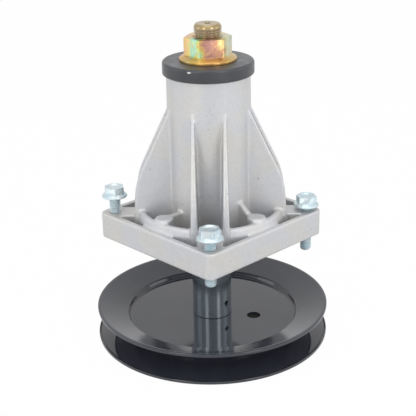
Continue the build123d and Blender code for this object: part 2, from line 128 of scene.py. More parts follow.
# %% Drawing an outline
def draw_line(name, points):
    """A bent line in the XZ plane, through points of radius and height in millimetres."""
    bpy.ops.object.select_all(action="DESELECT")
    bpy.ops.mesh.primitive_plane_add(size=MM)
    piece = bpy.context.object
    piece.name = piece.data.name = name
    bpy.ops.object.mode_set(mode="EDIT")
    bpy.ops.mesh.select_mode(type="VERT")
    bpy.ops.mesh.select_all(action="SELECT")
    bpy.ops.mesh.merge(type="CENTER")
    bpy.ops.transform.translate(value=(points[0][0] * MM, 0, points[0][1] * MM))
    for start, end in zip(points, points[1:]):
        step = ((end[0] - start[0]) * MM, 0, (end[1] - start[1]) * MM)
        bpy.ops.mesh.extrude_vertices_move(TRANSFORM_OT_translate={"value": step})
    return piece


def at(point):
    """A test for one corner of an outline."""
    spot = Vector((point[0], 0, point[1]))
    return lambda place: (place - spot).length < 4 * CLOSE


def round_corners(piece, points, segments):
    """Bevels the outline's corners that have a third number: how far back the rounding starts."""
    for point in points:
        if len(point) > 2:
            pick(piece, at(point))
            bpy.ops.mesh.bevel(offset=point[2] * MM, segments=segments, profile=0.5, affect="VERTICES")


# %% [markdown]
# ## Turned pieces
# Spin sweeps the selected outline round the axis. The last step lands on the first, so the two are merged
# there, and the faces are turned outwards, since Spin can leave them inside out. Shading by angle keeps the
# true edges crisp and everything else soft.

# %% Spinning an outline
def spin_round(steps):
    """Spins the outline a whole turn, closes the seam and turns the faces outwards."""
    bpy.ops.mesh.select_all(action="SELECT")
    bpy.ops.mesh.spin(steps=steps, angle=2 * math.pi, center=(0, 0, 0), axis=(0, 0, 1))
    bpy.ops.mesh.select_all(action="SELECT")
    bpy.ops.mesh.remove_doubles(threshold=CLOSE * MM)
    bpy.ops.mesh.normals_make_consistent(inside=False)


def smooth(piece, angle=32):
    """Soft shading, with edges sharper than the angle kept crisp."""
    only(piece)
    bpy.ops.object.shade_smooth_by_angle(angle=math.radians(angle))


def turned_piece(name, points, steps=96, segments=4):
    """A piece spun from an outline, which is closed unless both its ends lie on the axis."""
    piece = draw_line(name, points)
    if points[0][0] > 0 or points[-1][0] > 0:
        ends = (at(points[0]), at(points[-1]))
        pick(piece, lambda place: ends[0](place) or ends[1](place))
        bpy.ops.mesh.edge_face_add()
    round_corners(piece, points, segments)
    spin_round(steps)
    smooth(piece)
    return piece


# %% [markdown]
# ## Cutting one shape with another
# A Boolean modifier cuts, joins or keeps what two shapes share. It is applied at once and the tool is
# deleted, so that each piece ends as one plain mesh. A fine Bevel modifier breaks the edges that the cut
# leaves, because no real edge is sharp, and it is the broken edge that catches the light.

# %% Booleans and broken edges
def apply_modifier(piece, kind, **settings):
    """Adds one modifier with its settings and applies it."""
    only(piece)
    modifier = piece.modifiers.new(kind.lower(), kind)
    for key, value in settings.items():
        setattr(modifier, key, value)
    bpy.ops.object.modifier_apply(modifier=modifier.name)


def combine(piece, tool, operation):
    """Cuts, joins or intersects a piece with a tool, which is used up."""
    apply_modifier(piece, "BOOLEAN", operation=operation, solver="EXACT", object=tool)
    bpy.data.objects.remove(tool, do_unlink=True)


def break_edges(piece, width, angle):
    """Rounds every edge that turns by more than the angle."""
    apply_modifier(
        piece, "BEVEL", width=width * MM, segments=2, limit_method="ANGLE",
        angle_limit=math.radians(angle), harden_normals=False,
    )
    smooth(piece)


def block(size, place):
    """A box used as a cutting tool, sizes and middle in millimetres."""
    bpy.ops.object.select_all(action="DESELECT")
    bpy.ops.mesh.primitive_cube_add(size=1, location=[c * MM for c in place])
    tool = bpy.context.object
    tool.scale = [c * MM for c in size]
    bpy.ops.object.transform_apply(location=True, rotation=True, scale=True)
    return tool


# %% [markdown]
# ## Hexagons
# A nut or a screw head is a six-sided bar with its corners turned off by a shallow cone. The same order works
# here: a cylinder of six sides is intersected with a turned blank, and what is left has the small arcs where
# the cone runs out on each flat.

# %% Crowned hexagon
CROWN_ANGLE = 16


def hexagon(name, across_flats, height, turn):
    """A hexagonal prism that stands on the ground plane, one flat facing the angle turn."""
    bpy.ops.object.select_all(action="DESELECT")
    bpy.ops.mesh.primitive_cylinder_add(
        vertices=6, radius=across_flats / math.sqrt(3) * MM, depth=height * MM,
        location=(0, 0, height / 2 * MM), rotation=(0, 0, math.radians(turn)),
    )
    bpy.ops.object.transform_apply(location=True, rotation=True, scale=True)
    piece = bpy.context.object
    piece.name = piece.data.name = name
    return piece


def crowned_hexagon(name, across_flats, height, turn):
    """A hexagonal prism whose upper corners are turned off by a shallow cone."""
    flat = across_flats / 2
    corner = across_flats / math.sqrt(3) + 0.01
    slope = math.tan(math.radians(CROWN_ANGLE))
    drop = (corner - flat) * slope
    blank = turned_piece("blank", [
        (0, -1), (corner + 1, -1), (corner + 1, height - drop - slope), (flat, height), (0, height),
    ])
    piece = hexagon(name, across_flats, height + 1, turn)
    combine(piece, blank, "INTERSECT")
    return piece


# %% [markdown]
# ## A thread's outline and its open ends
# One pitch of the thread is a line: along the root, up a flank, over a narrow crest and down again. Swept up
# the axis it leaves a shape that is open at both ends, and a Boolean needs a closed one. So the edges that
# border only one face are found, pushed out and merged to a single point.

# %% Outline and ends of a thread
def thread_line(radius, pitch, depth, low):
    """One pitch of a thread: root, flank, narrow crest, flank, root."""
    root = radius - depth
    return [
        (root, low), (root, low + pitch * 0.06), (radius, low + pitch * 0.44),
        (radius, low + pitch * 0.56), (root, low + pitch * 0.94), (root, low + pitch),
    ]


def close_end(piece, is_end, beyond):
    """Draws an open end together to one point; is_end tests the height of an edge in millimetres."""
    bpy.ops.mesh.select_mode(type="EDGE")
    bpy.ops.mesh.select_all(action="DESELECT")
    mesh = bmesh.from_edit_mesh(piece.data)
    for edge in mesh.edges:
        if edge.is_boundary and is_end((edge.verts[0].co.z + edge.verts[1].co.z) / 2 / MM):
            edge.select_set(True)
    bmesh.update_edit_mesh(piece.data)
    bpy.ops.mesh.extrude_region_move(TRANSFORM_OT_translate={"value": (0, 0, beyond * MM)})
    bpy.ops.mesh.merge(type="CENTER")


# %% [markdown]
# ## Threads
# The Screw modifier turns the line upwards round the axis, one pitch a turn, so that it climbs like a
# right-hand thread. The bar is made a few turns too long and then trimmed by intersecting it with a turned
# blank. The blank brings the chamfer with it, as turning a bar to shape before threading does.

# %% Threaded bar
SPARE_TURNS = 2.5


def threaded_bar(name, radius, pitch, depth, blank, steps):
    """A thread as long as the blank, trimmed to the blank's shape."""
    low = min(corner[2] for corner in blank.bound_box) / MM - SPARE_TURNS * pitch
    high = max(corner[2] for corner in blank.bound_box) / MM + SPARE_TURNS * pitch
    turns = math.ceil((high - low) / pitch)
    bar = draw_line(name, thread_line(radius, pitch, depth, low))
    bpy.ops.object.mode_set(mode="OBJECT")
    apply_modifier(
        bar, "SCREW", axis="Z", angle=2 * math.pi, screw_offset=pitch * MM, iterations=turns,
        steps=steps, render_steps=steps, use_merge_vertices=True, merge_threshold=CLOSE * MM,
    )
    bpy.ops.object.mode_set(mode="EDIT")
    bpy.ops.mesh.select_all(action="SELECT")
    bpy.ops.mesh.remove_doubles(threshold=2 * CLOSE * MM)
    half_way = (low + high) / 2
    close_end(bar, lambda height: height < half_way, -pitch)
    close_end(bar, lambda height: height > half_way, pitch)
    bpy.ops.mesh.select_all(action="SELECT")
    bpy.ops.mesh.remove_doubles(threshold=CLOSE * MM)
    bpy.ops.mesh.normals_make_consistent(inside=False)
    bpy.ops.object.mode_set(mode="OBJECT")
    combine(bar, blank, "INTERSECT")
    smooth(bar, 24)
    return bar


# %% [markdown]
# ## The shaft's blade end
# The shaft ends in a three-quarter inch fine thread. Turning leaves a flat end with a wide chamfer, a plain
# band before the first thread and the small cone of the lathe's centre. The band is a turned cap joined to
# the threaded bar. The shaft inside the bearings is a second piece, because it has no thread.

# %% Blade end of the shaft
THREAD_R, THREAD_PITCH, THREAD_DEPTH = 9.525, 1.5875, 0.95
END_CONE, END_BAND, END_FLAT_R, CAP_R = 2.2, 3.1, 8.2, 9.3
MARK_R, MARK_FOOT_R, MARK_DEPTH = 2.3, 0.35, 1.6
SPARE = 0.02  # a blank is this much wider than its thread, so that the crests stay whole
disc_low, disc_top = heights("blade_disc")
shaft_foot, shaft_end = heights("shaft")
centre_mark = [(MARK_R, shaft_end, 0.15), (MARK_FOOT_R, shaft_end - MARK_DEPTH), (0, shaft_end - MARK_DEPTH)]
end_blank = turned_piece("end blank", [
    (0, disc_top), (THREAD_R + SPARE, disc_top), (THREAD_R + SPARE, shaft_end - END_CONE, 0.5),
    (END_FLAT_R, shaft_end, 0.35), *centre_mark,
], steps=72)
blade_end = threaded_bar("shaft_blade_end", THREAD_R, THREAD_PITCH, THREAD_DEPTH, end_blank, steps=72)
cap = turned_piece("cap", [
    (0, shaft_end - END_BAND), (CAP_R, shaft_end - END_BAND, 0.5), (CAP_R, shaft_end - END_CONE + 0.3, 0.6),
    (END_FLAT_R, shaft_end, 0.4), *centre_mark,
], steps=72)
combine(blade_end, cap, "UNION")
smooth(blade_end, 24)
print("blade end", len(blade_end.data.polygons), "faces, ends at", round(shaft_end, 2))

# %% [markdown]
# ## The shaft's journal
# The rest of the shaft is a ground bar inside the bearings. It is hardly seen, but the part can be turned
# over and taken apart, so it is all there: the two flats that drive the pulley, the bolt's hole and the slot
# for the key.

# %% Journal of the shaft
JOURNAL_R, END_GAP = 10, 0.5
DRIVE_R, FLAT_CUT = 8, 3
BOLT_HOLE_R, BOLT_HOLE_DEPTH = 4.81, 29
KEY_SLOT, KEY_REACH = 4.1, 9.6
ring_top = heights("blade_bearing_inner_ring")[1]
key_low, key_high = heights("blade_key")
journal_low = heights("pulley_sleeve")[0] + END_GAP
journal_top = ring_top - END_GAP
journal = turned_piece("shaft_journal", [
    (0, shaft_foot + BOLT_HOLE_DEPTH), (BOLT_HOLE_R, shaft_foot + BOLT_HOLE_DEPTH),
    (BOLT_HOLE_R, shaft_foot, 0.3), (DRIVE_R, shaft_foot, 0.5), (DRIVE_R, journal_low, 0.2),
    (JOURNAL_R, journal_low, 0.4), (JOURNAL_R, journal_top, 0.3), (THREAD_R, journal_top),
    (THREAD_R, disc_top), (0, disc_top),
])
for side in (-1, 1):
    flat = block(
        (20, FLAT_CUT, journal_low - shaft_foot + 2), (0, side * DRIVE_R, (journal_low + shaft_foot) / 2 - 1),
    )
    combine(journal, flat, "DIFFERENCE")
slot = block((KEY_SLOT, KEY_SLOT, key_high - key_low + 0.1), (KEY_REACH, 0, (key_low + key_high) / 2))
combine(journal, slot, "DIFFERENCE")
smooth(journal)
print("journal", round(journal_low, 2), "to", round(journal_top, 2))

# %% [markdown]
# ## The blade nut
# A flange nut is one piece: a crowned hexagon, and below it a round flange whose top slopes away from the
# flats. The hexagon and the turned flange are joined, then the hole and its countersink are cut, and last all
# edges are broken a little so that the bright line along the foot of each flat appears.

# %% Blade nut
NUT_HEX, NUT_FLANGE_R, NUT_TURN = 28.6, 19.6, -34
NUT_BORE_R, COUNTERSINK_R = 9.6, 10.7
nut_low, nut_top = heights("blade_nut")
nut_height = nut_top - nut_low
nut = crowned_hexagon("blade_nut_dressed", NUT_HEX, nut_height, NUT_TURN)
flange = turned_piece("flange", [
    (0, 0), (NUT_FLANGE_R, 0, 0.3), (NUT_FLANGE_R, 1.8, 0.5), (NUT_HEX / 2 + 0.8, 3.9, 1.2),
    (NUT_HEX / 2 + 0.2, 4.5), (0, 4.5),
], steps=120)
combine(nut, flange, "UNION")
bore = turned_piece("bore", [
    (0, -2), (NUT_BORE_R, -2), (NUT_BORE_R, nut_height - 1.1), (COUNTERSINK_R, nut_height),
    (13, nut_height + 2.3), (0, nut_height + 2.3),
])
combine(nut, bore, "DIFFERENCE")
break_edges(nut, 0.28, angle=24)
only(nut)
nut.location.z = nut_low * MM
bpy.ops.object.transform_apply(location=True, rotation=True, scale=True)
print("nut", len(nut.data.polygons), "faces")

# %% [markdown]
# ## The blade disc
# The blade seats on a round disc whose skirt drops over the end of the tube and keeps grass out of the
# bearing. It is turned from one outline, with a large round at the top edge and a smaller one at the foot.

# %% Blade disc
DISC_BORE_R, DISC_HUB_R, SKIRT_WALL, SKIRT_GAP = 9.6, 13.5, 1.95, 0.8
disc_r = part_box("blade_disc")[1][0] / MM
tube_top = heights("housing")[1]
disc = turned_piece("blade_disc_dressed", [
    (DISC_BORE_R, disc_top, 0.3), (disc_r, disc_top, 1.8), (disc_r, disc_low, 1.2),
    (disc_r - SKIRT_WALL, disc_low, 0.3), (disc_r - SKIRT_WALL, tube_top + SKIRT_GAP, 1.0),
    (DISC_HUB_R, tube_top + SKIRT_GAP, 0.4), (DISC_HUB_R, ring_top), (DISC_BORE_R, ring_top, 0.3),
], steps=160, segments=6)
combine(disc, block((12.1, KEY_SLOT, 30), (6, 0, disc_low)), "DIFFERENCE")
apply_modifier(disc, "WEIGHTED_NORMAL", keep_sharp=True, weight=80)
print("disc radius", round(disc_r, 2))

# %% [markdown]
# ## The sleeve
# A length of thick tube keeps the pulley clear of the housing. A set screw sits in its small cross hole, so
# the hole is cut along the line on which the screw lies.

# %% Sleeve
SLEEVE_BORE_R = 10.05
CROSS_R, CROSS_REACH, CROSS_TURN = 2, 14, math.radians(3)
sleeve_low, sleeve_high = heights("pulley_sleeve")
sleeve_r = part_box("pulley_sleeve")[1][0] / MM
screw_low, screw_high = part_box("sleeve_set_screw")
sleeve = turned_piece("sleeve_dressed", [
    (SLEEVE_BORE_R, sleeve_low, 0.4), (sleeve_r, sleeve_low, 0.5), (sleeve_r, sleeve_high, 0.5),
    (SLEEVE_BORE_R, sleeve_high, 0.4),
], steps=128, segments=3)
bpy.ops.object.select_all(action="DESELECT")
bpy.ops.mesh.primitive_cylinder_add(
    vertices=40, radius=CROSS_R * MM, depth=12 * MM, rotation=(0, math.pi / 2, CROSS_TURN),
    location=(
        CROSS_REACH * MM * math.cos(CROSS_TURN), CROSS_REACH * MM * math.sin(CROSS_TURN),
        (screw_low[2] + screw_high[2]) / 2,
    ),
)
cross_hole = bpy.context.object
bpy.ops.object.transform_apply(location=True, rotation=True, scale=True)
combine(sleeve, cross_hole, "DIFFERENCE")
smooth(sleeve)
apply_modifier(sleeve, "WEIGHTED_NORMAL", keep_sharp=True, weight=80)
print("sleeve", round(sleeve_low, 2), "to", round(sleeve_high, 2))

# %% [markdown]
# ## The pulley
# The pulley is two sheet pressings set back to back: a flat web, a small step, a straight flare and a narrow
# flat lip with a slightly turned edge. Gloss paint shows every bend as a line of light, so the outline is
# drawn with both faces of the sheet and true bend rounds, and spun in many steps.

# %% Upper half of the pulley
SHEET, STEP_RISE, STEP_RUN = 1.6, 3.1, 1.6
LIP, LIP_EDGE, FLARE_FOOT_R = 1.8, 2.5, 62
OUTLINE_START_R = 7  # inside the drive hole, which is cut afterwards
half_low, half_high = heights("pulley_upper_half")
rim_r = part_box("pulley_upper_half")[1][0] / MM
web_top = half_low + SHEET


def sheet_outline():
    """Both faces of the pressed sheet, from the drive hole out to the rim and back."""
    rise = half_high - web_top - STEP_RISE
    run = rim_r - LIP - FLARE_FOOT_R
    lean, bend = math.atan2(STEP_RISE, STEP_RUN), math.atan2(rise, run)
    step_shift = SHEET * math.tan(lean / 2)
    foot_shift = SHEET * math.tan((lean - bend) / 2)
    foot = (FLARE_FOOT_R + SHEET * math.sin(lean) - foot_shift * math.cos(lean),
            web_top + STEP_RISE - SHEET * math.cos(lean) - foot_shift * math.sin(lean))
    lip_shift = SHEET * math.tan(bend / 2)
    return [
        (OUTLINE_START_R, web_top), (FLARE_FOOT_R - STEP_RUN, web_top, 1.0),
        (FLARE_FOOT_R, web_top + STEP_RISE, 0.8),
        (rim_r - LIP, half_high, 0.5), (rim_r, half_high, 0.6), (rim_r, half_high - LIP_EDGE, 0.8),
        (rim_r - LIP + lip_shift, half_high - SHEET, 0.4), (foot[0], foot[1], 1.0),
        (FLARE_FOOT_R - STEP_RUN + step_shift, half_low, 1.2), (OUTLINE_START_R, half_low),
    ]


upper = turned_piece("pulley_upper_dressed", sheet_outline(), steps=192, segments=4)
print("upper half", len(upper.data.polygons), "faces, rim at", round(rim_r, 1))

# %% [markdown]
# ### The pulley's holes
# The pulley is driven through a hole with two flats. Its tool is a round bar whose sides are taken off by
# keeping only what it shares with a block. A small round hole in the web locates the sheet in its press.

# %% Holes in the pulley
DRIVE_HOLE_R, DRIVE_HOLE_FLATS = 8.05, 13.1
HOLE_R, HOLE_PLACE, HOLE_TURN = 4.95, 31.5, math.radians(29)


def round_tool(radius, low, high, place=(0, 0)):
    """A cylinder used as a cutting tool."""
    bpy.ops.object.select_all(action="DESELECT")
    bpy.ops.mesh.primitive_cylinder_add(
        vertices=64, radius=radius * MM, depth=(high - low) * MM,
        location=(place[0] * MM, place[1] * MM, (low + high) / 2 * MM),
    )
    bpy.ops.object.transform_apply(location=True, rotation=True, scale=True)
    return bpy.context.object


drive = round_tool(DRIVE_HOLE_R, half_low - 3, half_high)
combine(drive, block((20, DRIVE_HOLE_FLATS, 60), (0, 0, half_low)), "INTERSECT")
combine(upper, drive, "DIFFERENCE")
hole_place = (HOLE_PLACE * math.cos(HOLE_TURN), HOLE_PLACE * math.sin(HOLE_TURN))
combine(upper, round_tool(HOLE_R, half_low - 3, half_high, hole_place), "DIFFERENCE")
smooth(upper)
print("upper half with holes", len(upper.data.polygons), "faces")

# %% [markdown]
# ### The lower half
# It is the same pressing turned over and set half a turn on, so that each round hole looks onto the other
# half's black web. The copy has its own mesh. A negative scale mirrors it, which turns its faces inside out,
# so the normals are recalculated. Weighted normals keep the reflection in each flat web flat.

# %% Lower half of the pulley
lower = upper.copy()
lower.data = upper.data.copy()
lower.name = lower.data.name = "pulley_lower_dressed"
bpy.context.scene.collection.objects.link(lower)
lower.scale.z = -1
lower.rotation_euler.z = math.pi
lower.location.z = 2 * half_low * MM
only(lower)
bpy.ops.object.transform_apply(location=True, rotation=True, scale=True)
bpy.ops.object.mode_set(mode="EDIT")
bpy.ops.mesh.select_all(action="SELECT")
bpy.ops.mesh.normals_make_consistent(inside=False)
for half in (upper, lower):
    smooth(half)
    apply_modifier(half, "WEIGHTED_NORMAL", keep_sharp=True, weight=90)
print("lower half down to", round(min(v.co.z for v in lower.data.vertices) / MM, 2))

# %% [markdown]
# ## Bolt and washer under the pulley
# They hold the pulley from below and show when the part is turned over. The washer is punched, so its edges
# are rounded on one side, and the bolt's head is a crowned hexagon with its shank joined on.

# %% Washer and bolt
WASHER_R, WASHER_BORE_R = 16, 5.15
BOLT_HEX, BOLT_R, BOLT_PITCH, BOLT_THREAD = 14.3, 4.75, 1.5, 0.8
washer_low, washer_high = heights("pulley_washer")
bolt_low, bolt_high = heights("pulley_bolt")
washer = turned_piece("washer_dressed", [
    (WASHER_BORE_R, washer_low, 0.3), (WASHER_R, washer_low, 0.6), (WASHER_R, washer_high, 0.2),
    (WASHER_BORE_R, washer_high, 0.2),
], steps=80, segments=3)
bolt = crowned_hexagon("pulley_bolt_dressed", BOLT_HEX, washer_low - bolt_low, 0)
only(bolt)
bolt.rotation_euler.x = math.pi
bolt.location.z = washer_low * MM
bpy.ops.object.transform_apply(location=True, rotation=True, scale=True)
shank_blank = turned_piece("shank blank", [
    (0, washer_low - 1), (BOLT_R + SPARE, washer_low - 1), (BOLT_R + SPARE, bolt_high, 0.8), (0, bolt_high),
], steps=40)
shank = threaded_bar("shank", BOLT_R, BOLT_PITCH, BOLT_THREAD, shank_blank, steps=32)
combine(bolt, shank, "UNION")
break_edges(bolt, 0.2, angle=40)
print("bolt", round(bolt_low, 2), "to", round(bolt_high, 2))

# %% [markdown]
# ## Mounting screws
# The four deck screws are the same flange screw, so one is modelled and copied. The head is cold formed: a
# hexagon over a sloping flange, with a wide shallow dish pressed into its top. The thread is rolled on a
# blank with a short point.

# %% One flange screw
SCREW_HEX, SCREW_FLANGE_R, SCREW_HEAD, SCREW_R = 12.7, 8.9, 7.3, 3.97
SCREW_LENGTH, SCREW_PITCH, SCREW_THREAD = 34, 1.411, 0.75
DISH_R, DISH_DEPTH = 5.5, 1.2
head = crowned_hexagon("screw", SCREW_HEX, SCREW_HEAD, 0)
collar = turned_piece("collar", [
    (0, 0), (SCREW_FLANGE_R, 0, 0.3), (SCREW_FLANGE_R, 1.1, 0.4), (SCREW_HEX / 2 + 0.5, 2.3, 0.6),
    (SCREW_HEX / 2 + 0.1, 2.7), (0, 2.7),
], steps=72)
combine(head, collar, "UNION")
dish = turned_piece("dish", [
    (0, SCREW_HEAD - DISH_DEPTH), (DISH_R - 1.1, SCREW_HEAD - DISH_DEPTH, 0.8), (DISH_R, SCREW_HEAD),
    (DISH_R + 1, SCREW_HEAD + 1), (0, SCREW_HEAD + 1),
], steps=48)
combine(head, dish, "DIFFERENCE")
break_edges(head, 0.22, angle=24)
screw_blank = turned_piece("screw blank", [
    (0, -SCREW_LENGTH), (SCREW_R - 1.1, -SCREW_LENGTH, 0.3), (SCREW_R + SPARE, -SCREW_LENGTH + 1.3, 0.4),
    (SCREW_R + SPARE, 0.5), (0, 0.5),
], steps=40)
screw = threaded_bar("screw shank", SCREW_R, SCREW_PITCH, SCREW_THREAD, screw_blank, steps=40)
only(screw)
head.select_set(True)
bpy.ops.object.join()
print("screw", len(screw.data.polygons), "faces")

# %% [markdown]
# ### Four copies
# Each copy gets its own mesh, is turned about its own axis and set down where its solid stands. The place is
# then applied, so that it lies in the mesh and the object itself stays at the origin.

# %% Four copies
SCREW_TURNS = {"front": -63, "right": -60, "back": 10, "left": -64}
screws = []
for corner, turn in SCREW_TURNS.items():
    node = "mounting_screw_" + corner
    low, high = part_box(node)
    copy = screw.copy()
    copy.data = screw.data.copy()
    copy.name = copy.data.name = node + "_dressed"
    bpy.context.scene.collection.objects.link(copy)
    copy.rotation_euler.z = math.radians(turn)
    copy.location = ((low[0] + high[0]) / 2, (low[1] + high[1]) / 2, high[2] - SCREW_HEAD * MM)
    only(copy)
    bpy.ops.object.transform_apply(location=True, rotation=True, scale=True)
    screws.append((copy, node))
bpy.data.objects.remove(screw, do_unlink=True)
print("screws", len(screws))

# %% [markdown]
# ## The cast housing
# Molten metal leaves no sharp inner corners, so the solid's corners get the soft fillets of a casting. A
# voxel remesh turns the solid into an even net of small faces, and a smoothing pass melts its corners by
# about one millimetre. Decimate then thins the flat stretches. The copy is merged first, because a loaded
# solid is a set of loose triangles.

# %% Cast housing
VOXEL, QUICK_VOXEL, MOST_TRIANGLES = 0.8, 1.6, 185000
housing = frame["nodes"]["housing"].copy()
housing.data = frame["nodes"]["housing"].data.copy()
housing.name = housing.data.name = "cast_housing"
housing.parent = None
housing.matrix_world = Matrix()
bpy.context.scene.collection.objects.link(housing)
only(housing)
bpy.ops.object.mode_set(mode="EDIT")
bpy.ops.mesh.select_all(action="SELECT")
bpy.ops.mesh.remove_doubles(threshold=2 * CLOSE * MM)
bpy.ops.object.mode_set(mode="OBJECT")
apply_modifier(housing, "REMESH", mode="VOXEL", voxel_size=VOXEL * MM)
apply_modifier(housing, "SMOOTH", factor=0.5, iterations=4)
faces = len(housing.data.polygons)
apply_modifier(housing, "DECIMATE", ratio=min(1, MOST_TRIANGLES / (2 * faces)))
only(housing)
bpy.ops.object.shade_smooth()
print("housing", faces, "faces, thinned to", len(housing.data.polygons))

# %% [markdown]
# ## Finishes
# Each finish is a small node network on the Principled shader. All read Object coordinates, so a pattern
# keeps its size in metres and stays on the piece when it turns. Colours are written as they look on a screen,
# from 0 to 255, and turned into the linear values that a shader expects.

# %% Screen colours
def colour(red, green, blue):
    """A screen colour as linear values."""
    def linear(value):
        value /= 255
        return value / 12.92 if value <= 0.04045 else ((value + 0.055) / 1.055) ** 2.4
    return (linear(red), linear(green), linear(blue), 1)


# %% [markdown]
# ### Building a network in a few words
# Adding a node, setting its sockets and linking it takes many lines each time. This class says it once, so
# that a finish below reads like a recipe: noise, spread over a range, blended into a colour, then painted.

# %% A finish and its nodes
class Finish:
    """A material with its nodes and links at hand."""

    def __init__(self, name, metallic, roughness, base):
        self.material = bpy.data.materials.new(name)
        self.material.use_nodes = True
        self.nodes = self.material.node_tree.nodes
        self.links = self.material.node_tree.links
        self.nodes.clear()
        self.shader = self.add("ShaderNodeBsdfPrincipled")
        out = self.add("ShaderNodeOutputMaterial")
        self.links.new(self.shader.outputs["BSDF"], out.inputs["Surface"])
        self.place = self.add("ShaderNodeTexCoord").outputs["Object"]
        self.shader.inputs["Metallic"].default_value = metallic
        self.shader.inputs["Roughness"].default_value = roughness
        self.shader.inputs["Base Color"].default_value = base

    def add(self, kind, **settings):
        """A new node with its settings."""
        node = self.nodes.new(kind)
        for key, value in settings.items():
            setattr(node, key, value)
        return node

    def join(self, source, target):
        """Links one socket to another."""
        self.links.new(source, target)

    def noise(self, scale, detail=2, roughness=0.5, stretch=None):
        """Cloudy pattern from 0 to 1; stretch scales the place along each axis first."""
        node = self.add("ShaderNodeTexNoise")
        node.inputs["Scale"].default_value = scale
        node.inputs["Detail"].default_value = detail
        node.inputs["Roughness"].default_value = roughness
        place = self.place
        if stretch:
            mapping = self.add("ShaderNodeMapping")
            mapping.inputs["Scale"].default_value = stretch
            self.join(place, mapping.inputs["Vector"])
            place = mapping.outputs["Vector"]
        self.join(place, node.inputs["Vector"])
        return node.outputs["Fac"]

    def math(self, operation, first, second=0.0):
        """Works out one operation on numbers or sockets."""
        node = self.add("ShaderNodeMath", operation=operation)
        for socket, value in zip(node.inputs, (first, second)):
            if isinstance(value, (int, float)):
                socket.default_value = value
            else:
                self.join(value, socket)
        return node.outputs["Value"]

    def spread(self, value, low, high, to_low=0.0, to_high=1.0):
        """Stretches a range of a value to another range."""
        node = self.add("ShaderNodeMapRange")
        self.join(value, node.inputs["Value"])
        for name, number in zip(("From Min", "From Max", "To Min", "To Max"), (low, high, to_low, to_high)):
            node.inputs[name].default_value = number
        return node.outputs["Result"]

    def axis_parts(self):
        """The place split into its X, Y and Z."""
        node = self.add("ShaderNodeSeparateXYZ")
        self.join(self.place, node.inputs["Vector"])
        return node.outputs

    def ramp(self, value, stops):
        """Colours along a value from 0 to 1."""
        node = self.add("ShaderNodeValToRGB")
        elements = node.color_ramp.elements
        while len(elements) > 1:
            elements.remove(elements[-1])
        elements[0].position, elements[0].color = stops[0]
        for position, tint in stops[1:]:
            elements.new(position).color = tint
        self.join(value, node.inputs["Fac"])
        return node.outputs["Color"]

    def blend(self, share, first, second):
        """Mixes two colours by a share from 0 to 1."""
        node = self.add("ShaderNodeMix", data_type="RGBA")
        self.join(share, node.inputs["Factor"])
        for socket, tint in zip((node.inputs["A"], node.inputs["B"]), (first, second)):
            if isinstance(tint, tuple):
                socket.default_value = tint
            else:
                self.join(tint, socket)
        return node.outputs["Result"]

    def bump(self, height, strength, distance):
        """Fine relief; distance is in millimetres."""
        node = self.add("ShaderNodeBump")
        node.inputs["Strength"].default_value = strength
        node.inputs["Distance"].default_value = distance * MM
        self.join(height, node.inputs["Height"])
        if self.shader.inputs["Normal"].is_linked:
            self.join(self.shader.inputs["Normal"].links[0].from_socket, node.inputs["Normal"])
        self.join(node.outputs["Normal"], self.shader.inputs["Normal"])

    def paint(self, tint):
        """Sets the colour."""
        self.join(tint, self.shader.inputs["Base Color"])

    def rough(self, value):
        """Sets the roughness."""
        self.join(value, self.shader.inputs["Roughness"])


# %% [markdown]
# ### Cast aluminium
# As it comes from the die the metal is pale grey with a dull, slightly grainy skin. It drifts between a cool
# and a warm grey over a few centimetres, and carries some dark specks. Part metal and part plain colour gives
# the skin: fully metallic would look polished.

# %% Cast aluminium
def cast_aluminium():
    finish = Finish("cast_aluminium", 0.45, 0.46, colour(205, 206, 210))
    patches = finish.spread(finish.noise(38, 3), 0.4, 0.6)
    skin = finish.blend(patches, colour(202, 203, 207), colour(205, 204, 201))
    mottle = finish.spread(finish.noise(420, 4, 0.65), 0.35, 0.75, 0, 0.35)
    skin = finish.blend(mottle, skin, colour(180, 181, 184))
    specks = finish.spread(finish.noise(640, 2), 0.70, 0.73)
    rare = finish.spread(finish.noise(70, 1), 0.52, 0.62)
    finish.paint(finish.blend(finish.math("MULTIPLY", specks, rare), skin, colour(92, 90, 88)))
    finish.rough(finish.spread(finish.noise(160, 3), 0.3, 0.7, 0.40, 0.54))
    finish.bump(finish.noise(900, 3, 0.6), 0.35, 0.06)
    finish.bump(finish.noise(190, 2), 0.4, 0.12)
    return finish.material


# %% [markdown]
# ### Gloss black
# The pulley is dipped in gloss black, which mirrors the room and has the faint waviness of paint. The faces
# where the two pressings meet are painted near black and dull, as painted shade for the face seen down the
# round hole.

# %% Gloss black
def gloss_black():
    finish = Finish("gloss_black", 0.0, 0.07, colour(47, 49, 58))
    finish.shader.inputs["IOR"].default_value = 1.58
    paint = finish.blend(finish.spread(finish.noise(60, 2), 0.3, 0.7), colour(43, 45, 54), colour(51, 53, 62))
    height = finish.axis_parts()["Z"]
    off_joint = finish.math("ABSOLUTE", finish.math("SUBTRACT", height, half_low * MM))
    # Painted shade: the faces where the two halves meet are near black and dull, so the round hole looks
    # dark.
    painted_hole_shade = finish.spread(off_joint, 0.3 * MM, 0.1 * MM)
    finish.paint(finish.blend(painted_hole_shade, paint, colour(12, 12, 13)))
    gloss = finish.spread(finish.noise(45, 4, 0.6), 0.35, 0.7, 0.055, 0.10)
    finish.rough(finish.math("MAXIMUM", gloss, painted_hole_shade))
    finish.bump(finish.noise(75, 2), 0.12, 0.05)
    return finish.material


# %% [markdown]
# ### Satin black
# The disc has a satin coat, so its highlights are wide and soft. At one place on its rim the coat is chipped.
# The chip is the set of points near one spot, with its border made ragged by noise, where bare metal shows.

# %% Satin black
CHIP = (11.6, -29.1, 200.8)
CHIP_SHAPE = (0.6, 0.6, 1.1)  # below 1 stretches the chip along that axis, above 1 flattens it


